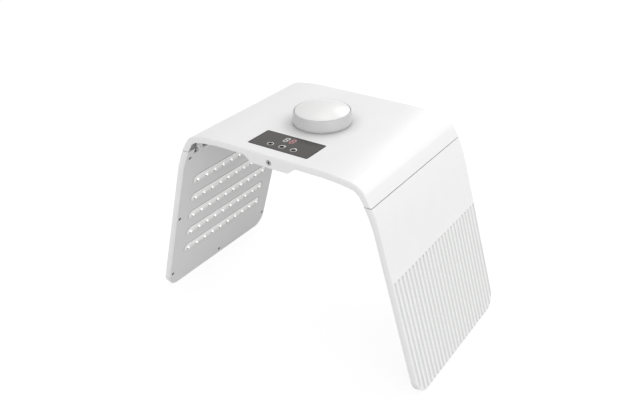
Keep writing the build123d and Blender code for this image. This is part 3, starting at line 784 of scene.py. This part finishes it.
def add_cap_wall():
    mesh = bmesh.new()
    corners = [
        (CAP_BASE_RADIUS - CAP_WALL_THICKNESS, CAP_LIFT, WALL_INNER_ROUND),
        (CAP_BASE_RADIUS, CAP_LIFT, WALL_FOOT_ROUND),
        (CAP_RIM_RADIUS, WALL_TOP, WALL_RIM_ROUND),
        (CAP_RIM_RADIUS - WALL_RIM_THICKNESS, WALL_TOP, SMALL_ROUND),
    ]
    lathe(mesh, rounded(corners, WALL_ROUND_STEPS), CAP_STEPS, CAP_PLACE, closed=True)
    piece(mesh, "cap_wall_shape", "tank_cap", "white_satin", CAP_WALL_LOOK, "cap_wall")


def add_cap_dome():
    rise = CAP_APEX - DOME_START - DOME_EDGE_ROUND
    radius = (DOME_RADIUS**2 + rise**2) / (2 * rise)
    center = CAP_APEX - radius
    rim_angle = math.asin(DOME_RADIUS / radius)
    arc = []
    for step in range(1, DOME_ARC_STEPS + 1):
        angle = rim_angle * (1 - step / DOME_ARC_STEPS)
        arc.append((radius * math.sin(angle), center + radius * math.cos(angle), 0))
    under = DOME_START + DOME_UNDERSIDE
    corners = [
        (0, under, 0),
        (SKIRT_RADIUS - SKIRT_THICKNESS, under, 0),
        (SKIRT_RADIUS - SKIRT_THICKNESS, SKIRT_END, SMALL_ROUND),
        (SKIRT_RADIUS, SKIRT_END, SMALL_ROUND),
        (SKIRT_RADIUS, under, 0),
        (LIP_RADIUS - LIP_THICKNESS, under, 0),
        (LIP_RADIUS - LIP_THICKNESS, DOME_START - LIP_DEPTH, SMALL_ROUND),
        (LIP_RADIUS, DOME_START - LIP_DEPTH, SMALL_ROUND),
        (LIP_RADIUS, DOME_START, 0),
        (DOME_RADIUS, DOME_START, SMALL_ROUND),
        (DOME_RADIUS, DOME_START + DOME_EDGE_ROUND, DOME_EDGE_ROUND - SMALL_ROUND),
    ]
    profile = [(x if x > AXIS_REACH else 0, y) for x, y in rounded(corners + arc)]
    mesh = bmesh.new()
    lathe(mesh, profile, CAP_STEPS, CAP_PLACE)
    piece(mesh, "cap_dome_shape", "tank_cap", "white_gloss", CAP_DOME_LOOK, "cap_dome", crease=DOME_CREASE)


add_cap_wall()
add_cap_dome()

# Signs on the touch panel

SIGN_DEPTH = 0.05
SIGN_RISE = 0.03
DISC_HEIGHT = 0.07
OUTLINE_STEPS = 32
GLASS_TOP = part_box("touch_glass")[1].z / MM
SIGN_LOW = GLASS_TOP - SIGN_DEPTH
SIGN_HIGH = GLASS_TOP + SIGN_RISE
DIGIT_WIDTH = 7.0
DIGIT_HEIGHT = 13.4
STROKE = 1.5
SEGMENT_GAP = 0.15
DIGIT_Y = -77.0
DIGIT_X = (-7.3, 3.2)
DIGIT_GLOW = 0.12
PALE_LOW = (0.55, 0.55, 0.55)
PALE_HIGH = (0.75, 0.75, 0.75)
RED_LOW = (0.5, 0.2, 0.22)
RED_HIGH = (0.62, 0.28, 0.3)
KEY_Y = -98.5
KEY_X = (-20.0, 0.0, 20.0)
KEY_RADIUS = 4.4
KEY_STROKE = 1.15
KEY_DISC = 3.0
KEY_LOW = (0.42, 0.42, 0.42)
KEY_HIGH = (0.95, 0.95, 0.95)
# Arcs run between two angles in degrees; the arrow's corners are shares of the ring's radius
POWER_ARC = (125, 415)
POWER_BAR_LENGTH = 3.4
POWER_BAR_DROP = 0.4
CYCLE_ARC = (60, 380)
CYCLE_ARROW = ((0.5, 1.3), (0.5, 0.45), (1.15, 0.85))
TIMER_ARCS = ((90, 270), (270, 450))
TIMER_KNOB_WIDTH = 1.8
TIMER_KNOB_LENGTH = 1.0
TIMER_HAND_WIDTH = 0.7
TIMER_HAND_LENGTH = 2.4


def segment(length, upright):
    """Pointed bar about the origin."""
    half, thick = length / 2, STROKE / 2
    outline = [(-half, 0), (thick - half, -thick), (half - thick, -thick), (half, 0)]
    outline += [(half - thick, thick), (thick - half, thick)]
    return [(-y, x) for x, y in outline] if upright else outline


def add_digit(name, x, look):
    mesh = bmesh.new()
    across = DIGIT_WIDTH - STROKE
    rise = (DIGIT_HEIGHT - STROKE) / 2
    for level in (-rise, 0, rise):
        place = Matrix.Translation((x, DIGIT_Y + level, 0))
        plate(mesh, segment(across - 2 * SEGMENT_GAP, upright=False), SIGN_LOW, SIGN_HIGH, place)
    for sideways in (-across / 2, across / 2):
        for level in (-rise / 2, rise / 2):
            place = Matrix.Translation((x + sideways, DIGIT_Y + level, 0))
            plate(mesh, segment(rise - 2 * SEGMENT_GAP, upright=True), SIGN_LOW, SIGN_HIGH, place)
    piece(mesh, name, "head", "display_black", look)


DIGIT_PALE = sign_print("digit_white", PALE_LOW, PALE_HIGH, DIGIT_Y, DIGIT_HEIGHT, DIGIT_GLOW)
DIGIT_RED = sign_print("digit_red", RED_LOW, RED_HIGH, DIGIT_Y, DIGIT_HEIGHT, DIGIT_GLOW)
KEY_WHITE = sign_print("key_white", KEY_LOW, KEY_HIGH, KEY_Y, 2 * KEY_RADIUS)
add_digit("digit_left", DIGIT_X[0], DIGIT_PALE)
add_digit("digit_right", DIGIT_X[1], DIGIT_RED)


def arc_outline(start, stop):
    """Outline of a bar curved along the ring of a key, between two angles in degrees."""
    steps = range(OUTLINE_STEPS + 1)
    angles = [math.radians(start + (stop - start) * step / OUTLINE_STEPS) for step in steps]
    outer, inner = (
        [(reach * math.cos(angle), reach * math.sin(angle)) for angle in angles]
        for reach in (KEY_RADIUS + KEY_STROKE / 2, KEY_RADIUS - KEY_STROKE / 2)
    )
    return outer + inner[::-1]


def disc_outline(radius):
    """Round outline about the origin."""
    angles = [2 * math.pi * step / OUTLINE_STEPS for step in range(OUTLINE_STEPS)]
    return [(radius * math.cos(angle), radius * math.sin(angle)) for angle in angles]


def bar(y, width, length):
    """Upright bar whose middle is that far behind the origin."""
    near, far = y - length / 2, y + length / 2
    return [(-width / 2, near), (width / 2, near), (width / 2, far), (-width / 2, far)]


def add_key(name, x, outlines):
    """A ring and its sign, with a black disc in the middle."""
    place = Matrix.Translation((x, KEY_Y, 0))
    mesh = bmesh.new()
    for outline in outlines:
        plate(mesh, outline, SIGN_LOW, SIGN_HIGH, place)
    piece(mesh, name, "head", "display_black", KEY_WHITE)
    mesh = bmesh.new()
    plate(mesh, disc_outline(KEY_DISC), SIGN_LOW, SIGN_LOW + DISC_HEIGHT, place)
    piece(mesh, name + "_disc", "head", "display_black", INK)


key_signs = {
    "key_power": [
        arc_outline(*POWER_ARC),
        bar(KEY_RADIUS - POWER_BAR_DROP, KEY_STROKE, POWER_BAR_LENGTH),
    ],
    "key_cycle": [
        arc_outline(*CYCLE_ARC),
        [(KEY_RADIUS * x, KEY_RADIUS * y) for x, y in CYCLE_ARROW],
    ],
    "key_timer": [
        *(arc_outline(*ends) for ends in TIMER_ARCS),
        bar(KEY_RADIUS + TIMER_KNOB_LENGTH, TIMER_KNOB_WIDTH, TIMER_KNOB_LENGTH),
        bar(TIMER_HAND_LENGTH / 2, TIMER_HAND_WIDTH, TIMER_HAND_LENGTH),
    ],
}
for x, (name, outlines) in zip(KEY_X, key_signs.items()):
    add_key(name, x, outlines)

# Ring round the power inlet

INLET_INNER = 1.6
INLET_OUTER = 4.0
INLET_HEIGHT = 0.25
INLET_ROUND = 0.1
INLET_STEPS = 32


def add_inlet_ring():
    low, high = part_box("dc_jack")
    middle = (low + high) / 2 / MM
    forwards = Matrix.Rotation(QUARTER_TURN, 4, "X")
    place = Matrix.Translation((middle.x, low.y / MM, middle.z)) @ forwards
    corners = [
        (INLET_INNER, 0, 0),
        (INLET_OUTER, 0, 0),
        (INLET_OUTER, INLET_HEIGHT, INLET_ROUND),
        (INLET_INNER, INLET_HEIGHT, INLET_ROUND),
    ]
    mesh = bmesh.new()
    lathe(mesh, rounded(corners), INLET_STEPS, place, closed=True)
    piece(mesh, "inlet_ring", "head", "black_plastic", RING)


add_inlet_ring()

# Stage; lengths in metres

FLOOR_HALF = 6.0
FLOOR_BOUNCE = 0.35
FLOOR_SHOWN = 0.2
FLOOR_GLOW = 0.84
AIM_HEIGHT = 0.18
STUDIO_DISTANCE = 2.6
# Name, azimuth and elevation in degrees, power in watts and size of each lamp
STUDIO_LAMPS = (
    ("lamp_front", 0, 5, 20, 1.4),
    ("lamp_right", 70, 5, 20, 1.4),
    ("lamp_back", 180, 35, 16.2, 1.4),
    ("lamp_back_right", 135, 35, 11.3, 1.4),
    ("lamp_high", 208, 67, 3, 0.7),
)
WORLD_STRENGTH = 0.738


def grey(share):
    return (share, share, share, 1)


def stage_material():
    """Floor that throws back little light but looks white; it still takes the object's shadow."""
    material = bpy.data.materials.new("stage")
    material.use_nodes = True
    tree = material.node_tree
    tree.nodes.remove(tree.nodes["Principled BSDF"])
    bounce = tree.nodes.new("ShaderNodeBsdfDiffuse")
    bounce.inputs["Color"].default_value = grey(FLOOR_BOUNCE)
    shown = tree.nodes.new("ShaderNodeBsdfDiffuse")
    shown.inputs["Color"].default_value = grey(FLOOR_SHOWN)
    glow = tree.nodes.new("ShaderNodeEmission")
    glow.inputs["Strength"].default_value = FLOOR_GLOW
    total = tree.nodes.new("ShaderNodeAddShader")
    tree.links.new(shown.outputs[0], total.inputs[0])
    tree.links.new(glow.outputs[0], total.inputs[1])
    rays = tree.nodes.new("ShaderNodeLightPath")
    straight = sums(tree, "MAXIMUM", rays.outputs["Is Camera Ray"], rays.outputs["Is Glossy Ray"])
    seen = sums(tree, "MAXIMUM", straight, rays.outputs["Is Transmission Ray"])
    mix = tree.nodes.new("ShaderNodeMixShader")
    tree.links.new(seen, mix.inputs[0])
    tree.links.new(bounce.outputs[0], mix.inputs[1])
    tree.links.new(total.outputs[0], mix.inputs[2])
    tree.links.new(mix.outputs[0], tree.nodes["Material Output"].inputs["Surface"])
    return material


def add_floor():
    mesh = bpy.data.meshes.new("floor")
    corners = [(-1, -1), (1, -1), (1, 1), (-1, 1)]
    mesh.from_pydata([(x * FLOOR_HALF, y * FLOOR_HALF, 0) for x, y in corners], [], [(0, 1, 2, 3)])
    mesh.materials.append(stage_material())
    ob = bpy.data.objects.new("floor", mesh)
    bpy.context.scene.collection.objects.link(ob)


def studio_lamp(name, azimuth, elevation, power, size):
    """Square soft lamp aimed at the object."""
    away = direction(azimuth, elevation)
    data = bpy.data.lights.new(name, "AREA")
    data.energy = power
    data.size = size
    ob = bpy.data.objects.new(name, data)
    facing = away.to_track_quat("Z", "Y").to_matrix().to_4x4()
    ob.matrix_world = Matrix.Translation(Vector((0, 0, AIM_HEIGHT)) + away * STUDIO_DISTANCE) @ facing
    bpy.context.scene.collection.objects.link(ob)


def white_world():
    """Even white light; the camera sees plain white."""
    world = bpy.data.worlds.new("world")
    bpy.context.scene.world = world
    world.use_nodes = True
    tree = world.node_tree
    light = tree.nodes["Background"]
    light.inputs["Color"].default_value = grey(1)
    light.inputs["Strength"].default_value = WORLD_STRENGTH
    shown = tree.nodes.new("ShaderNodeBackground")
    shown.inputs["Color"].default_value = grey(1)
    mix = tree.nodes.new("ShaderNodeMixShader")
    rays = tree.nodes.new("ShaderNodeLightPath")
    tree.links.new(rays.outputs["Is Camera Ray"], mix.inputs[0])
    tree.links.new(light.outputs[0], mix.inputs[1])
    tree.links.new(shown.outputs[0], mix.inputs[2])
    tree.links.new(mix.outputs[0], tree.nodes["World Output"].inputs["Surface"])


add_floor()
for lamp in STUDIO_LAMPS:
    studio_lamp(*lamp)
white_world()
bpy.context.scene.view_settings.view_transform = "Standard"
